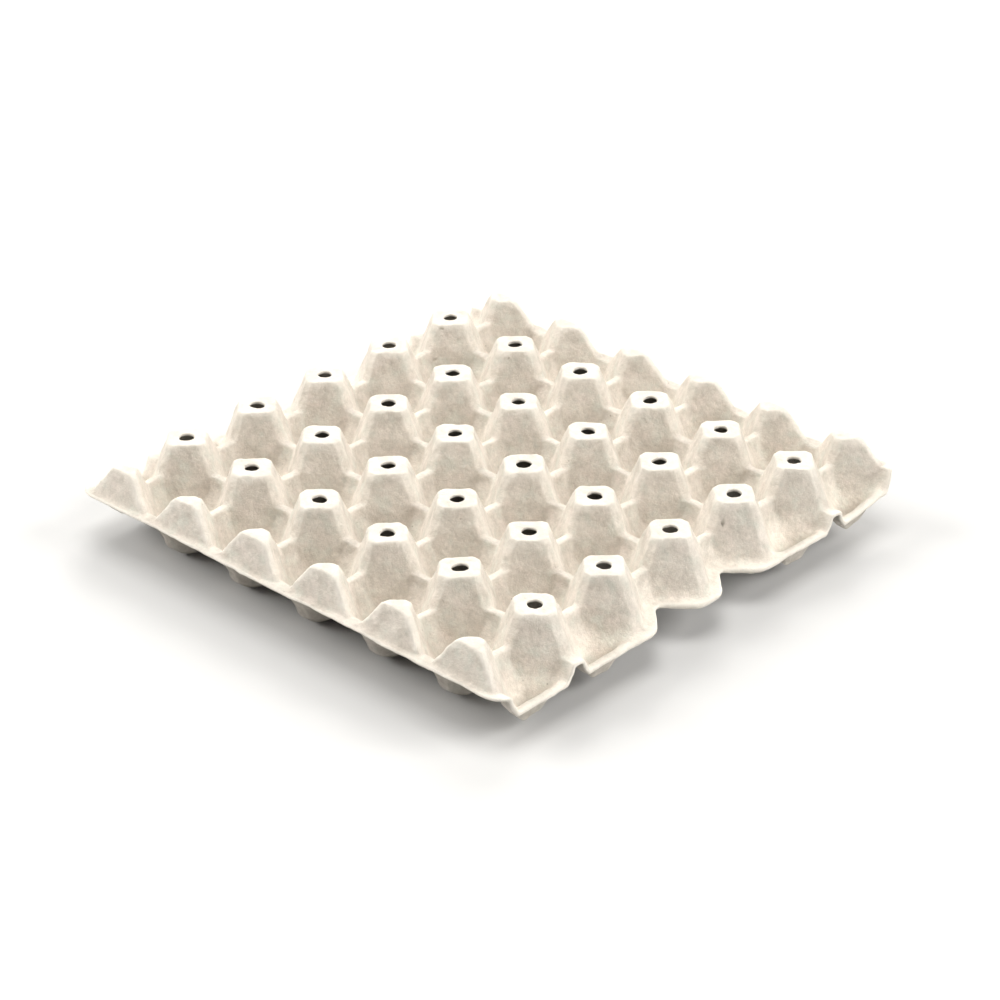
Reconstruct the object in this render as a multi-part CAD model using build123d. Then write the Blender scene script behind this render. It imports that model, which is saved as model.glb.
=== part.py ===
from build123d import *
import os
from math import atan, cos, radians, sin, sqrt, tan

# Moulded pulp tray: one thin shell with thirty full cups, five along X and six along Y.
# Millimetres, Z up. The tray stands on its cup bottoms at z = 0, centred on the origin.

# Grid of cups
pitch = 48.0
columns = 5
rows = 6
wall = 2.0

# Heights of the upper face
post_height = 48.5
half_post_height = 46.0
bar_height = 33.5
rim_height = 29.5
tab_height = 28.5
lip_height = 20.0

# Posts: a square turned to face the cups, with its corners cut off over the saddles
post_width = 19.0
post_corner_cut = 2.1
post_hole_diameter = 8.2

# Half posts along the two straight rims: the flank leans in from just outside the post's axis
half_post_width = 15.6
half_post_edge_bevel = 1.5
flank_foot = 0.7
flank_top = 3.5

# Saddles between cups, each carrying a bar that stiffens it
land_width = 6.0
bar_top_width = 4.4

# Cups, measured from the centre where the walls would meet the floor
cup_side_reach = 8.6
cup_face_reach = 8.2
cup_floor_cut = 4.4
cup_floor_bevel = 5.5

# Edges of the tray beyond the outer lines of posts
rim_overhang = 4.5
side_overhang = 28.5
lip_width = 4.5
lip_angle = 70.0
skirt_lip = 5.8
notched_cells = 2
corner_radius = 12.0
notch_radius = 3.0
notch_mouth_radius = 13.0
notch_mouth_turn = 45.0
rounded_share = 0.95

# Half cups along the scalloped sides: shallower, with a toe rounded towards the lip
half_cup_lift = 6.0
toe_centre = 17.0
toe_floor_reach = 6.1
toe_lip_reach = 15.3

# The form under the lower face runs past every edge by this much, so the edges stay open
past_edge = 12.0

root_two = sqrt(2.0)
half_x = columns * pitch / 2
half_y = rows * pitch / 2
rim_edge = half_y + rim_overhang
side_edge = half_x + side_overhang

post_x = [i * pitch - half_x for i in range(columns + 1)]
post_y = [j * pitch - half_y for j in range(rows + 1)]
cup_x = [x + pitch / 2 for x in post_x[:-1]]
cup_y = [y + pitch / 2 for y in post_y[:-1]]

# Each slope runs between two stated widths, so it follows when a height or the pitch changes
face_run = pitch / root_two - cup_face_reach - post_width / 2
face_slope = (post_height - wall) / face_run
side_run = pitch / 2 - land_width / 2 - cup_side_reach
side_slope = (rim_height - wall) / side_run


def square_offset(slope):
    """How far a sloping face moves level when it moves one unit square to itself."""
    return 1.0 / sin(atan(slope))


def face_reach(z, inset):
    """From a post's axis to its main faces, which go on down as the diagonal walls of the cups."""
    return post_width / 2 + (post_height - z) / face_slope - inset * square_offset(face_slope)


def land_reach(z, inset):
    """From a grid line to the cup walls on each side of it."""
    return land_width / 2 + (rim_height - z) / side_slope - inset * square_offset(side_slope)


def corner_reach(z, inset):
    """From a post's axis to the narrow faces over the saddles, which end as wide as the saddles."""
    top_reach = post_width / root_two - post_corner_cut
    foot_reach = face_reach(rim_height, 0) * root_two - land_reach(rim_height, 0)
    slope = (post_height - rim_height) / (foot_reach - top_reach)
    if inset == 0:
        return top_reach + (post_height - z) / slope
    top = post_height - inset
    rim = rim_height - inset
    inner_top = top_reach + inset / slope - inset * square_offset(slope)
    inner_foot = face_reach(rim, inset) * root_two - land_reach(rim, inset)
    return inner_top + (top - z) * (inner_foot - inner_top) / (top - rim)


def octagon(side, face, z):
    """Corners of a level octagon: four sides square to X and Y, four faces square to the diagonals."""
    cut = face * root_two - side
    corners = [(side, cut), (cut, side), (-cut, side), (-side, cut)]
    corners += [(-x, -y) for x, y in corners]
    return [(x, y, z) for x, y in corners]


def flat_walled(rings):
    """Solid through level outlines whose sides stay parallel, so that every wall is a flat face."""
    faces = [Face(Wire.make_polygon(ring)) for ring in (rings[0], rings[-1])]
    for low, high in zip(rings, rings[1:]):
        for i in range(len(low)):
            faces.append(Face(Wire.make_polygon([low[i - 1], low[i], high[i], high[i - 1]])))
    return Solid(Shell(faces))


def along_y(outline, half_length):
    """Prism along Y from an outline in X and Z."""
    return extrude(Plane.XZ * Polygon(*outline, align=None), amount=half_length, both=True)


def along_x(outline, half_length):
    """Prism along X from an outline in Y and Z."""
    return extrude(Plane.YZ * Polygon(*outline, align=None), amount=half_length, both=True)


def post_form(inset):
    """One post, tapering from its top down to the level of the side lips."""
    ends = (lip_height - inset, post_height - inset)
    return flat_walled([octagon(corner_reach(z, inset), face_reach(z, inset), z) for z in ends])


def half_post_form(inset):
    """One half post of the +Y rim: a post whose sides close in above the rim, cut off by its flank."""
    top = half_post_height - inset
    rim = rim_height - inset
    foot = lip_height - inset
    clear = 2 * post_width
    foot_reach = corner_reach(rim_height, 0)
    draft = (foot_reach - half_post_width / 2) / (half_post_height - rim_height)
    lean = (flank_foot + flank_top) / (half_post_height - rim_height)

    def side(z):
        return foot_reach - (z - rim_height) * draft - inset * square_offset(1 / draft)

    def flank(z):
        return flank_foot - (z - rim_height) * lean - inset * square_offset(1 / lean)

    bevel = 0.0 if inset else half_post_edge_bevel
    shoulder = top - bevel
    crown = side(top) - bevel
    hood = [(clear, foot), (clear, rim), (side(rim), rim), (side(shoulder), shoulder), (crown, top)]
    hood += [(-x, z) for x, z in reversed(hood)]
    back = [(-clear, foot), (flank(foot), foot), (flank(top), top), (-clear, top)]
    return post_form(inset) & along_y(hood, clear) & along_x(back, clear)


def cup_form(inset, top, lift=0.0):
    """The hollow of one cup, or its outside when inset is the wall: octagons from floor to top."""
    floor = lift + wall
    bevel_angle = atan(cup_floor_bevel / (cup_floor_cut + cup_floor_bevel / side_slope))
    wall_angle = atan(side_slope)
    turn = sin(wall_angle - bevel_angle)
    bevel_top = floor + cup_floor_bevel - inset * (sin(wall_angle) - sin(bevel_angle)) / turn
    spread = inset * tan(bevel_angle / 2) - cup_floor_cut

    def ring(z):
        return octagon(pitch / 2 - land_reach(z, inset), pitch / root_two - face_reach(z, inset), z)

    side = pitch / 2 - land_reach(floor, 0) + spread
    face = pitch / root_two - face_reach(floor, 0) + spread
    return flat_walled([octagon(side, face, floor - inset), ring(bevel_top), ring(top)])


def half_cup_form(inset):
    """One half cup of the +X side: a cup stopped by the wall of the lip and narrowed towards it."""
    top = lip_height - inset
    bottom = half_cup_lift
    slope = tan(radians(lip_angle))
    toe_slope = (lip_height - half_cup_lift - wall) / (toe_lip_reach - toe_floor_reach)

    def lip_wall(z):
        level = side_edge - lip_width - (lip_height - z) / slope
        return level + inset * square_offset(slope)

    def toe(z):
        reach = toe_lip_reach - (lip_height - z) / toe_slope + inset * square_offset(toe_slope)
        return [(x * reach * root_two, y * reach * root_two, z) for x, y in ((1, 0), (0, 1), (-1, 0), (0, -1))]

    keep = along_y([(0, bottom), (lip_wall(bottom), bottom), (lip_wall(top), top), (0, top)], rim_edge)
    keep &= Pos(half_x + toe_centre, 0, 0) * flat_walled([toe(bottom), toe(top)])
    return (Pos(half_x + pitch / 2, 0, 0) * cup_form(inset, top, half_cup_lift)) & keep


def outline():
    """The tray from above: straight rims, rounded corners, two notches between the middle posts."""
    reach = (face_reach(lip_height, 0) + skirt_lip) * root_two
    half_mouth = pitch / 2 - (reach - side_overhang)
    apex = half_x + reach - pitch / 2
    points = [(side_edge, -rim_edge)]
    for y in cup_y:
        if abs(y) < notched_cells * pitch / 2:
            points += [(side_edge, y - half_mouth), (apex, y), (side_edge, y + half_mouth)]
    points.append((side_edge, rim_edge))
    points += [(-x, -y) for x, y in points]
    plan = Polygon(*points, align=None)
    plan = fillet([v for v in plan.vertices() if abs(v.Y) > half_y], corner_radius)

    # Mouths of two notches round off the edge between them, each up to the middle of it at most
    span = notched_cells * pitch / 2
    middle = (apex + side_edge) / 2
    room = rounded_share * (pitch / 2 - half_mouth) / tan(radians(notch_mouth_turn) / 2)
    mouths = [v for v in plan.vertices() if abs(v.Y) < span and abs(v.X) > middle]
    plan = fillet(mouths, min(notch_mouth_radius, room))
    roots = [v for v in plan.vertices() if abs(v.Y) < span and abs(v.X) < middle]
    return fillet(roots, notch_radius)


def mould(inset):
    """All that lies under the tray's upper face, or under its lower face when inset is the wall."""
    grow = past_edge if inset else 0.0
    rim = rim_height - inset
    lip = lip_height - inset

    # Lower block, up to the lips of the scalloped sides
    if inset:
        plan = Rectangle(2 * (side_edge + grow), 2 * (rim_edge + grow))
    else:
        plan = outline()
    form = extrude(Plane.XY.offset(-grow) * plan, amount=lip + grow)

    # Upper block, up to the rims and saddles, with the walls behind the scalloped sides
    low = land_reach(lip, inset)
    high = land_reach(rim, inset)
    wide = half_x + low
    narrow = half_x + high
    form += along_y([(-wide, lip), (wide, lip), (narrow, rim), (-narrow, rim)], rim_edge + grow)

    # Saddles that run out to the tray's corners, and as tabs between two half cups
    corner_plan = extrude(plan, amount=rim)
    for turn in (-1, 1):
        edge = turn * (rim_edge + grow)
        inner = turn * half_y
        section = [(edge, lip), (edge, rim), (inner - turn * high, rim), (inner - turn * low, lip)]
        form += along_x(section, side_edge + grow) & corner_plan
    tab = tab_height - inset
    tab_reach = land_reach(tab, inset)
    for y in post_y:
        if notched_cells * pitch / 2 < abs(y) < half_y:
            section = [(y - low, lip), (y + low, lip), (y + tab_reach, tab), (y - tab_reach, tab)]
            form += along_x(section, side_edge + grow)

    # Posts on every crossing, with half posts along the two rims
    post = post_form(inset)
    posts = [Pos(x, y, 0) * post for x in post_x for y in post_y[1:-1]]
    far_post = half_post_form(inset)
    near_post = far_post.mirror(Plane.XZ)
    posts += [Pos(x, half_y, 0) * far_post for x in post_x]
    posts += [Pos(x, -half_y, 0) * near_post for x in post_x]
    form = form + posts

    # Bars on the saddles, running from post to post
    if not inset:
        seat = rim_height - wall / 2
        base = land_width / 2
        peak = bar_top_width / 2
        section = [(base, seat), (base, rim_height), (peak, bar_height)]
        section += [(-y, z) for y, z in reversed(section)]
        bury = post_width / 2
        long_bar = along_y(section, half_y - bury)
        cross_bar = along_x(section, half_x - bury)
        bars = [Pos(x, 0, 0) * long_bar for x in post_x]
        bars += [Pos(0, y, 0) * cross_bar for y in post_y[1:-1]]
        form = form + bars

    # Cups and half cups
    cup = cup_form(inset, rim)
    right = half_cup_form(inset)
    left = right.mirror(Plane.YZ)
    hollows = [Pos(x, y, 0) * cup for x in cup_x for y in cup_y]
    hollows += [Pos(0, y, 0) * h for h in (left, right) for y in cup_y if abs(y) > notched_cells * pitch / 2]
    return form - hollows


hole = Pos(0, 0, post_height) * Cylinder(post_hole_diameter / 2, 4 * wall)
holes = [Pos(x, y, 0) * hole for x in post_x for y in post_y[1:-1]]
tray = mould(0) - mould(wall) - holes

os.makedirs("parts", exist_ok=True)
print("tray solids", len(tray.solids()), "volume", round(tray.volume), "box", tray.bounding_box())
export_step(tray.solids()[0], "parts/tray.step")
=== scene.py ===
import math
import bmesh
import bpy
import numpy as np
from mathutils import Matrix, Vector


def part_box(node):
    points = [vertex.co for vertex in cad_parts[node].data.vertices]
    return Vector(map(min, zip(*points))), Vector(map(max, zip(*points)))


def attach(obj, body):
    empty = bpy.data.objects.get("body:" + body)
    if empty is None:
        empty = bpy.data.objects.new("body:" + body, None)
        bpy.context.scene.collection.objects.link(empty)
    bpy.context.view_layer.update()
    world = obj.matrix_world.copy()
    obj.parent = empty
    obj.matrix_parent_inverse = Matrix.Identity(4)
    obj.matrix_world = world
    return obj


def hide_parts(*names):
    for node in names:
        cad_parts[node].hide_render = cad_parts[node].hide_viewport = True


# Moulded pulp tray: the CAD shell gets the soft edges, slight warp and fibrous skin of real pulp.
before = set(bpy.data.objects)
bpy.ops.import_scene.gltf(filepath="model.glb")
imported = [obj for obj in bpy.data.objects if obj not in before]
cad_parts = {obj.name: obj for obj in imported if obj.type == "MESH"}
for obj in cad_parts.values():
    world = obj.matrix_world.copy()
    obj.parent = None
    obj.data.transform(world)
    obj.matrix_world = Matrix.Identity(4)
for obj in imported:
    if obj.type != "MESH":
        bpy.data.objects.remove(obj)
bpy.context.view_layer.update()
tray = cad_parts["tray"]
tray_low, tray_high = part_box("tray")

# View of the photograph: direction, distance and aim in metres, lens and sensor in millimetres
view_azimuth = math.radians(43.3)
view_elevation = math.radians(29.14)
view_distance = 1.543
view_aim = Vector((0.0419, -0.0365, tray_high.z))
view_lens = 113.6
sensor_width = 36.0

# Skin of the shell, in metres, and the rounds that soften its edges and its cups and skirts
skin_voxel = 0.00078
edge_rounds = 3
cup_rounds = 60
skin_triangles = 196000
weld_gap = 1e-6

# The deep rounding is whole below the first height and stops at the second
rounded_below = 0.015
crisp_above = 0.025

# Rounds that carry a free edge's mark inwards, and the levels where the edge ends and the wall begins
edge_search = 44
edge_level = 0.60
wall_level = 0.88

# Grid of the cups, and how far their walls curve in, most at half their depth
pitch = 0.048
bowl_draw = 0.12
bowl_top = 0.023

# The holes in the posts, which the softening opens a little
hole_radius = 0.0041
hole_rim = 0.003
hole_pull = 0.0003

# Unevenness of dried pulp: size of the waves and how far they move the wall
warp_wave = 0.06
warp_travel = 0.0016
lump_wave = 0.008
lump_travel = 0.0010

# Radius that counts as a full edge, and how far its mark spreads: rubbed wear on outer edges, painted shade
# in inner ones
edge_bend = 0.0022
edge_spread = 4
edge_share_each_round = 0.6

# Thick edge of the lips: how far it hangs below the wall, and where across the tray it starts
lip_swell = 0.0010
lip_from = 0.128
lip_whole = 0.138

# Upward part of a normal: between the two values a face stops being the underside of a lip, the side that
# lay on the mould, or the wall of a hole;
# the last two get painted shade
lip_under_from = -0.4
lip_under_to = 0.4
under_from = -0.25
under_to = 0.05
bored_from = 0.3
bored_to = 0.8

# Smallest distances that are divided by, which keep the sums from failing at one point
least_reach = 1e-6
least_length = 1e-9

# The corner that has dried bent upwards
bent_corner = 0.0050
bent_from_x = 0.108
bent_from_y = 0.100


def smooth_step(values, start, end):
    """0 at the start, 1 at the end, and an even curve between."""
    share = np.clip((values - start) / (end - start), 0.0, 1.0)
    return share * share * (3.0 - 2.0 * share)


def apply_modifiers(piece):
    """Carries out the piece's modifiers."""
    graph = bpy.context.evaluated_depsgraph_get()
    piece.data = bpy.data.meshes.new_from_object(piece.evaluated_get(graph))
    piece.modifiers.clear()


def points_of(mesh):
    """Every vertex of a mesh, as rows of x, y and z."""
    points = np.empty(3 * len(mesh.vertices), dtype=np.float32)
    mesh.vertices.foreach_get("co", points)
    return points.reshape(-1, 3)


def normals_of(mesh):
    """Every vertex normal of a mesh, as rows."""
    normals = np.empty(3 * len(mesh.vertices), dtype=np.float32)
    mesh.vertex_normals.foreach_get("vector", normals)
    return normals.reshape(-1, 3)


def edges_of(mesh):
    """The two ends of every edge of a mesh, and how many edges meet at each point."""
    ends = np.empty(2 * len(mesh.edges), dtype=np.int32)
    mesh.edges.foreach_get("vertices", ends)
    first, second = ends.reshape(-1, 2).T
    size = len(mesh.vertices)
    return first, second, np.bincount(first, minlength=size) + np.bincount(second, minlength=size)


def spread(values, first, second, count, rounds, share=0.5):
    """Evens out a value over the neighbouring points, some rounds long."""
    size = len(values)
    for _ in range(rounds):
        near = np.bincount(first, values[second], size) + np.bincount(second, values[first], size)
        values = (1.0 - share) * values + share * near / count
    return values


def inside_share(mesh):
    """0 on points at a free edge, where the wall's two faces meet, and 1 further in."""
    first, second, count = edges_of(mesh)
    evened = [spread(axis, first, second, count, edge_search) for axis in normals_of(mesh).T.astype(float)]
    return smooth_step(np.linalg.norm(evened, axis=0), edge_level, wall_level)


def weigh(piece, name, weights, steps=20):
    """A vertex group that holds the weights, in even steps."""
    group = piece.vertex_groups.new(name=name)
    levels = np.rint(weights * steps).astype(int)
    for level in range(1, steps + 1):
        group.add(np.flatnonzero(levels == level).tolist(), level / steps, "REPLACE")
    return group.name


def soften(piece, name, rounds, group=""):
    """Rounds off every edge of the piece, or of one group of its points."""
    relax = piece.modifiers.new(name, "SMOOTH")
    relax.factor = 0.5
    relax.iterations = rounds
    relax.vertex_group = group


def uneven(piece, name, wave, travel):
    """Moves both faces of the wall together, in random waves of one size."""
    clouds = bpy.data.textures.new(name, "CLOUDS")
    clouds.cloud_type = "COLOR"
    clouds.noise_scale = wave
    clouds.noise_depth = 1
    sway = piece.modifiers.new(name, "DISPLACE")
    sway.texture = clouds
    sway.texture_coords = "LOCAL"
    sway.direction = "RGB_TO_XYZ"
    sway.mid_level = 0.5
    sway.strength = travel


def nearest_hole(x, y, z):
    """Middle of the nearest hole, and how far each point is from it: far off where there is none."""
    hole_x = (np.floor(x / pitch) + 0.5) * pitch
    hole_y = np.rint(y / pitch) * pitch
    beside = (z > tray_high.z - 2 * hole_rim) & (np.abs(y) < tray_high.y - pitch / 4)
    reach = np.maximum(np.hypot(x - hole_x, y - hole_y), least_reach)
    return hole_x, hole_y, np.where(beside, reach, pitch)


def shape_by_hand(mesh, inside):
    """Curves the cups' walls, thickens the lips, closes the post holes and lifts the bent corner."""
    x, y, z = points_of(mesh).T
    lip = (1.0 - inside) * smooth_step(np.abs(x), lip_from, lip_whole) * (z < crisp_above)
    beneath = 1.0 - smooth_step(normals_of(mesh)[:, 2], lip_under_from, lip_under_to)
    z = z - lip_swell * lip * beneath
    depth = np.clip(z / bowl_top, 0.0, 1.0)
    draw = 1.0 - bowl_draw * np.sin(math.pi * depth) ** 2
    cup_x = np.rint(x / pitch) * pitch
    cup_y = (np.floor(y / pitch) + 0.5) * pitch
    x = cup_x + (x - cup_x) * draw
    y = cup_y + (y - cup_y) * draw

    post_x, post_y, reach = nearest_hole(x, y, z)
    close = 1.0 - (1.0 - smooth_step(reach, hole_radius, hole_radius + hole_rim)) * hole_pull / reach
    x = post_x + (x - post_x) * close
    y = post_y + (y - post_y) * close

    lift = smooth_step(x, bent_from_x, tray_high.x) * smooth_step(y, bent_from_y, tray_high.y)
    points = np.stack([x, y, z + bent_corner * lift], axis=1).astype(np.float32)
    mesh.vertices.foreach_set("co", points.ravel())


def fit_to_box(mesh, low, high):
    """Brings the softened shell back to the box it was moulded in."""
    points = points_of(mesh)
    shell_low = Vector(points.min(axis=0).tolist())
    shell_high = Vector(points.max(axis=0).tolist())
    sizes = [(high[i] - low[i]) / (shell_high[i] - shell_low[i]) for i in range(3)]
    mesh.transform(Matrix.Translation(low) @ Matrix.Diagonal((*sizes, 1.0)) @ Matrix.Translation(-shell_low))


def pulp_shell(node):
    """The CAD shell as one even skin of small faces, with the soft edges that a mould leaves."""
    mesh = node.data.copy()
    welded = bmesh.new()
    welded.from_mesh(mesh)
    bmesh.ops.remove_doubles(welded, verts=welded.verts, dist=weld_gap)
    welded.to_mesh(mesh)
    welded.free()
    mesh.materials.clear()
    shell = bpy.data.objects.new("pulp_tray", mesh)
    bpy.context.scene.collection.objects.link(shell)

    skin = shell.modifiers.new("even skin", "REMESH")
    skin.mode = "VOXEL"
    skin.voxel_size = skin_voxel
    apply_modifiers(shell)

    inside = inside_share(shell.data)
    low_down = 1.0 - smooth_step(points_of(shell.data)[:, 2], rounded_below, crisp_above)
    rounded = weigh(shell, "rounded", inside * low_down)
    soften(shell, "soft edges", edge_rounds)
    soften(shell, "round cups", cup_rounds, rounded)
    uneven(shell, "slight warp", warp_wave, warp_travel)
    uneven(shell, "uneven pulp", lump_wave, lump_travel)
    apply_modifiers(shell)
    shell.vertex_groups.clear()
    shape_by_hand(shell.data, inside)

    # A face of the skin has four sides, so it becomes two triangles
    thin_out = shell.modifiers.new("fewer faces", "DECIMATE")
    thin_out.ratio = skin_triangles / (2 * len(shell.data.polygons))
    apply_modifiers(shell)
    fit_to_box(shell.data, tray_low, tray_high)
    return shell


def store(mesh, name, values):
    """Keeps one number for each point on the mesh, for the material to read."""
    kept = mesh.attributes.new(name, "FLOAT", "POINT")
    kept.data.foreach_set("value", values.astype(np.float32))


def mark_edges(mesh, name):
    """Stores on each point how far it stands on an outer edge (1) or in an inner one (-1)."""
    points = points_of(mesh)
    normals = normals_of(mesh)
    first, second, count = edges_of(mesh)
    along = points[second] - points[first]
    length = np.maximum(np.linalg.norm(along, axis=1), least_length)
    turn = ((normals[second] - normals[first]) * along).sum(axis=1) / length ** 2
    bend = (np.bincount(first, turn, len(points)) + np.bincount(second, turn, len(points))) / count
    bend = np.clip(bend * edge_bend, -1.0, 1.0)
    store(mesh, name, spread(bend, first, second, count, edge_spread, edge_share_each_round))


def mark_mould_side_and_painted_shade(mesh, name):
    """Stores on each point whether it is below the wall or in a hole (1), or on the upper face (0): mostly
    painted shade, a little the mould side's own darker tone.
    """
    up = normals_of(mesh)[:, 2]
    reach = nearest_hole(*points_of(mesh).T)[2]
    down = 1.0 - smooth_step(up, under_from, under_to)
    in_hole = 1.0 - smooth_step(reach, hole_radius, hole_radius + hole_rim / 4)
    bored = in_hole * (1.0 - smooth_step(up, bored_from, bored_to))
    store(mesh, name, np.maximum(down, bored))


# Nodes of the material are set out in rows, in the order in which they are made
nodes_per_row = 9
node_width = 240
node_height = 330


def new_node(tree, kind, **values):
    """One shader node, with its inputs set by name."""
    row, column = divmod(len(tree.nodes), nodes_per_row)
    made = tree.nodes.new(kind)
    made.location = (column * node_width, -row * node_height)
    for name, value in values.items():
        made.inputs[name.replace("_", " ")].default_value = value
    return made


def fill(tree, socket, value):
    """Gives a socket another node's output, a colour or a number."""
    if isinstance(value, bpy.types.NodeSocket):
        tree.links.new(value, socket)
    elif isinstance(value, tuple):
        socket.default_value = (*value, 1.0)
    else:
        socket.default_value = value


def grey(level):
    return (level, level, level)


def ramp(tree, source, *stops):
    """The colour that a ramp gives a value, from its stops, each a place and a colour."""
    made = new_node(tree, "ShaderNodeValToRGB")
    tree.links.new(source, made.inputs["Fac"])
    elements = made.color_ramp.elements
    while len(elements) < len(stops):
        elements.new(0.5)
    for element, (place, colour) in zip(elements, stops):
        element.position = place
        element.color = (*colour, 1.0)
    return made.outputs["Color"]


def mixed(tree, blend, share, first, second):
    """Two colours mixed by a share."""
    made = new_node(tree, "ShaderNodeMix")
    made.data_type = "RGBA"
    made.blend_type = blend
    colours = [socket for socket in made.inputs if socket.type == "RGBA"]
    fill(tree, made.inputs["Factor"], share)
    fill(tree, colours[0], first)
    fill(tree, colours[1], second)
    return next(socket for socket in made.outputs if socket.type == "RGBA")


def toned(tree, colour, source, *stops):
    """A colour made darker or paler by the greys of a ramp, each a place and a level."""
    tones = ramp(tree, source, *[(place, grey(level)) for place, level in stops])
    return mixed(tree, "MULTIPLY", 1.0, colour, tones)


def maths(tree, operation, first, second, clamp=False):
    """One sum on numbers or sockets."""
    made = new_node(tree, "ShaderNodeMath")
    made.operation = operation
    made.use_clamp = clamp
    fill(tree, made.inputs[0], first)
    fill(tree, made.inputs[1], second)
    return made.outputs["Value"]


def noise(tree, place, size, detail, roughness=0.55, warp=0.0):
    """Noise whose features are about the given size in metres."""
    made = new_node(tree, "ShaderNodeTexNoise", Scale=1.0 / size, Detail=detail, Roughness=roughness,
                    Distortion=warp)
    tree.links.new(place, made.inputs["Vector"])
    return made.outputs["Fac"]


def strands(tree, place, turn, length, width):
    """Fibres that lie roughly one way: noise drawn out along one direction."""
    lay = new_node(tree, "ShaderNodeMapping", Rotation=turn, Scale=(1.0 / length, 1.0 / width, 1.0 / width))
    tree.links.new(place, lay.inputs["Vector"])
    return noise(tree, lay.outputs["Vector"], 1.0, 1.5, 0.5, 1.6)


def stored_value(tree, name):
    """The number that the mesh keeps for each point."""
    made = new_node(tree, "ShaderNodeAttribute")
    made.attribute_name = name
    return made.outputs["Fac"]


# Colours of the dried pulp
pulp_dark = (0.56, 0.508, 0.443)
pulp_pale = (0.72, 0.665, 0.59)
pulp_warm = (0.715, 0.632, 0.565)
pulp_cool = (0.62, 0.617, 0.545)
pulp_edge = (0.82, 0.775, 0.70)
speck_colour = (0.26, 0.22, 0.17)

# Painted light and shade by height: how pale the pulp is made, as shares of the tray's height and of the
# colour
painted_light_by_height = ((0.0, 1.02), (0.14, 1.06), (0.36, 1.19), (0.60, 0.98), (0.88, 0.93), (0.97, 0.90))

# Sizes of what shows in the pulp, in metres
cloud_size = 0.011
cast_size = 0.008
flock_size = 0.0024
fibre_length = 0.0022
fibre_width = 0.00045
worn_patch = 0.004
lump_size = 0.0035
tooth_size = 0.0007

# Relief of the skin: its height in metres, and the parts that lumps, fibres and the fine tooth play in it
relief_height = 0.0006
relief_strength = 0.8
lump_part = 1.6
fibre_part = 0.55
tooth_part = 0.35

# What rubs an edge pale: the bend of the edge, and the patches that break the wear up
bend_part = 1.5
patch_part = 0.5

# Turns of the three lays of fibres, in radians
fibre_lays = ((0.3, 0.5, 0.2), (1.1, -0.4, 1.3), (-0.6, 1.2, 2.4))

# Specks: how many places to a metre, how many of them stay empty, and how large and dark they are
speck_places = 150.0
speck_empty = 0.72
speck_reach = 0.085
speck_depth = 0.5


def stock_colour(tree, place):
    """Soft clouds of pale and dark stock, with a faint warm and cool cast and small flocks."""
    colour = ramp(tree, noise(tree, place, cloud_size, 5.0, 0.62, 0.3), (0.33, pulp_dark), (0.66, pulp_pale))
    cast = noise(tree, place, cast_size, 2.0)
    warm_share = ramp(tree, cast, (0.52, grey(0.0)), (0.72, grey(0.6)))
    colour = mixed(tree, "MIX", warm_share, colour, pulp_warm)
    cool_share = ramp(tree, cast, (0.30, grey(0.6)), (0.48, grey(0.0)))
    colour = mixed(tree, "MIX", cool_share, colour, pulp_cool)
    return toned(tree, colour, noise(tree, place, flock_size, 3.0, 0.6, 0.4), (0.33, 0.92), (0.67, 1.05))


def felt_of(tree, place):
    """Three lays of short strands, one over the other."""
    lays = [strands(tree, place, turn, fibre_length, fibre_width) for turn in fibre_lays]
    return maths(tree, "MAXIMUM", maths(tree, "MAXIMUM", lays[0], lays[1]), lays[2])


def specks_of(tree, place):
    """Where bits of ink and bark lie in the stock."""
    bits = new_node(tree, "ShaderNodeTexVoronoi", Scale=speck_places, Randomness=1.0)
    tree.links.new(place, bits.inputs["Vector"])
    chosen = new_node(tree, "ShaderNodeSeparateColor")
    tree.links.new(bits.outputs["Color"], chosen.inputs["Color"])
    reach = maths(tree, "MULTIPLY", chosen.outputs["Red"], speck_reach)
    inside = maths(tree, "LESS_THAN", bits.outputs["Distance"], reach)
    rare = maths(tree, "GREATER_THAN", chosen.outputs["Green"], speck_empty)
    return maths(tree, "MULTIPLY", maths(tree, "MULTIPLY", inside, rare), speck_depth)


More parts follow.
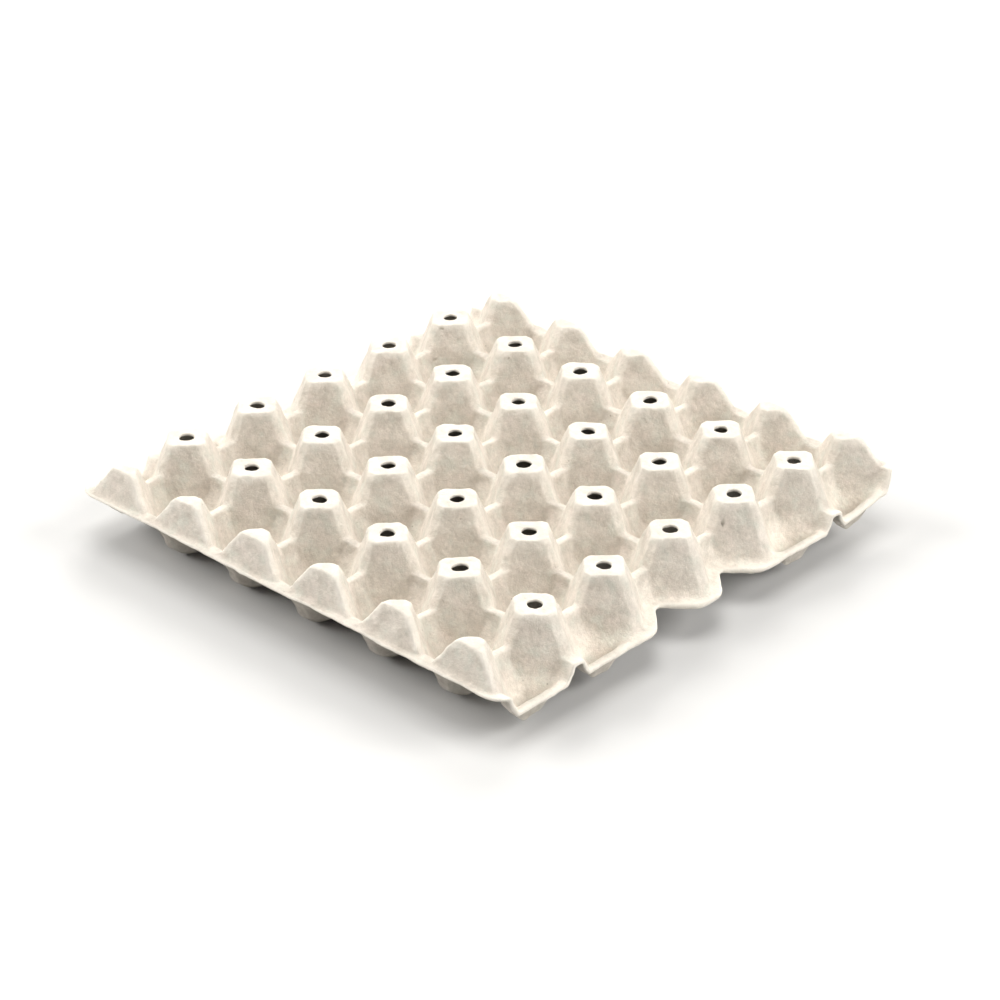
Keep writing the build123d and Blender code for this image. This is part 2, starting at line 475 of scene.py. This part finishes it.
def pulp_material():
    """Pale grey pulp: mottled, fibrous and matt, paler where edges have been pressed and rubbed, with
    painted light and shade by height, under the wall, in the holes and in creases.
    """
    material = bpy.data.materials.new("grey_pulp")
    material.use_nodes = True
    tree = material.node_tree
    tree.nodes.clear()
    link = tree.links.new
    place = new_node(tree, "ShaderNodeTexCoord").outputs["Object"]
    wear_and_crease_shade = stored_value(tree, "wear_and_crease_shade")
    felt = felt_of(tree, place)
    colour = stock_colour(tree, place)

    # Painted light and shade by height: palest about a third of the way up, at the skirts, and a little
    # darker on the posts
    height = new_node(tree, "ShaderNodeSeparateXYZ")
    link(place, height.inputs["Vector"])
    level = maths(tree, "DIVIDE", height.outputs["Z"], tray_high.z)
    colour = toned(tree, colour, level, *painted_light_by_height)

    # Painted shade on faces turned down and inside the holes, with a little of the mould side's own darker
    # tone
    colour = toned(tree, colour, stored_value(tree, "mould_side_and_painted_shade"), (0.0, 1.0), (1.0, 0.66))

    # Fibres stand out a little from what lies between them, and specks lie over both
    colour = toned(tree, colour, felt, (0.45, 0.90), (0.75, 1.06))
    colour = mixed(tree, "MIX", specks_of(tree, place), colour, speck_colour)

    # Rubbed edges are paler, and inner corners are darkened with painted shade
    broken = maths(tree, "MULTIPLY", noise(tree, place, worn_patch, 3.0), patch_part)
    edge = maths(tree, "ADD", maths(tree, "MULTIPLY", wear_and_crease_shade, bend_part), broken)
    edge_share = ramp(tree, edge, (0.40, grey(0.0)), (0.95, grey(0.7)))
    colour = mixed(tree, "MIX", edge_share, colour, pulp_edge)
    # Painted shade: inner corners and creases darker by how far they bend in
    painted_crease_shade = maths(tree, "MULTIPLY", wear_and_crease_shade, -1.0, True)
    colour = toned(tree, colour, painted_crease_shade, (0.0, 1.0), (0.8, 0.86))

    # Matt all over, and a little smoother where rubbed
    roughness = ramp(tree, edge_share, (0.0, grey(0.96)), (1.0, grey(0.80)))

    # Relief: lumps of pulp, felted fibres and a fine tooth
    lumps = maths(tree, "MULTIPLY", noise(tree, place, lump_size, 3.0, 0.6), lump_part)
    tooth = maths(tree, "MULTIPLY", noise(tree, place, tooth_size, 4.0, 0.7), tooth_part)
    relief = maths(tree, "ADD", lumps, maths(tree, "MULTIPLY", felt, fibre_part))
    relief = maths(tree, "ADD", relief, tooth)
    bump = new_node(tree, "ShaderNodeBump", Strength=relief_strength, Distance=relief_height)
    link(relief, bump.inputs["Height"])

    surface = new_node(tree, "ShaderNodeBsdfPrincipled", Specular_IOR_Level=0.25)
    link(colour, surface.inputs["Base Color"])
    link(roughness, surface.inputs["Roughness"])
    link(bump.outputs["Normal"], surface.inputs["Normal"])
    output = new_node(tree, "ShaderNodeOutputMaterial")
    link(surface.outputs["BSDF"], output.inputs["Surface"])
    return material


pulp_tray = pulp_shell(tray)
for face in pulp_tray.data.polygons:
    face.use_smooth = True
mark_edges(pulp_tray.data, "wear_and_crease_shade")
mark_mould_side_and_painted_shade(pulp_tray.data, "mould_side_and_painted_shade")
pulp_tray.data.materials.append(pulp_material())
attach(pulp_tray, "root")
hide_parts("tray")

# Studio: pale floor, faint light from all round, and its measures in metres
floor_reach = 6.0
floor_grey = 0.58
floor_roughness = 0.9
air_strength = 0.08

# Large soft lights to the left, to the right, behind, in front and overhead, with their power in watts
light_side = 2.2
light_colour = (1.0, 0.985, 0.955)
studio_lights = (
    ("left_light", (-2.9, -1.8, 2.0), 166.0),
    ("right_light", (2.9, 1.8, 2.0), 146.0),
    ("back_light", (-2.0, 2.6, 2.2), 104.0),
    ("front_light", (3.1, -1.3, 2.0), 23.0),
    ("overhead_light", (0.0, 0.0, 3.3), 68.0),
)


def studio_floor():
    """The plain pale floor that the tray stands on."""
    grid = bmesh.new()
    bmesh.ops.create_grid(grid, x_segments=1, y_segments=1, size=floor_reach)
    mesh = bpy.data.meshes.new("studio_floor")
    grid.to_mesh(mesh)
    grid.free()
    paper = bpy.data.materials.new("studio_paper")
    paper.use_nodes = True
    finish = paper.node_tree.nodes["Principled BSDF"]
    finish.inputs["Base Color"].default_value = (*grey(floor_grey), 1.0)
    finish.inputs["Roughness"].default_value = floor_roughness
    mesh.materials.append(paper)
    floor = bpy.data.objects.new("studio_floor", mesh)
    bpy.context.scene.collection.objects.link(floor)


def soft_light(name, place, power):
    """A large square studio light, turned to the tray."""
    lamp = bpy.data.lights.new(name, "AREA")
    lamp.size = light_side
    lamp.energy = power
    lamp.color = light_colour
    light = bpy.data.objects.new(name, lamp)
    light.location = place
    light.rotation_mode = "QUATERNION"
    light.rotation_quaternion = (-Vector(place)).to_track_quat("-Z", "Y")
    bpy.context.scene.collection.objects.link(light)


def studio_camera():
    """The camera at the photograph's viewing angle."""
    lens = bpy.data.cameras.new("studio_camera")
    lens.lens = view_lens
    lens.sensor_width = sensor_width
    camera = bpy.data.objects.new("studio_camera", lens)
    back = Vector((math.sin(view_azimuth) * math.cos(view_elevation),
                   -math.cos(view_azimuth) * math.cos(view_elevation),
                   math.sin(view_elevation)))
    camera.location = view_aim + back * view_distance
    camera.rotation_mode = "QUATERNION"
    camera.rotation_quaternion = (-back).to_track_quat("-Z", "Y")
    bpy.context.scene.collection.objects.link(camera)
    return camera


studio_floor()
world = bpy.data.worlds.new("studio_air")
world.use_nodes = True
air = world.node_tree.nodes["Background"]
air.inputs["Color"].default_value = (*grey(1.0), 1.0)
air.inputs["Strength"].default_value = air_strength
bpy.context.scene.world = world
for name, place, power in studio_lights:
    soft_light(name, place, power)
bpy.context.scene.view_settings.view_transform = "Standard"
bpy.context.scene.camera = studio_camera()
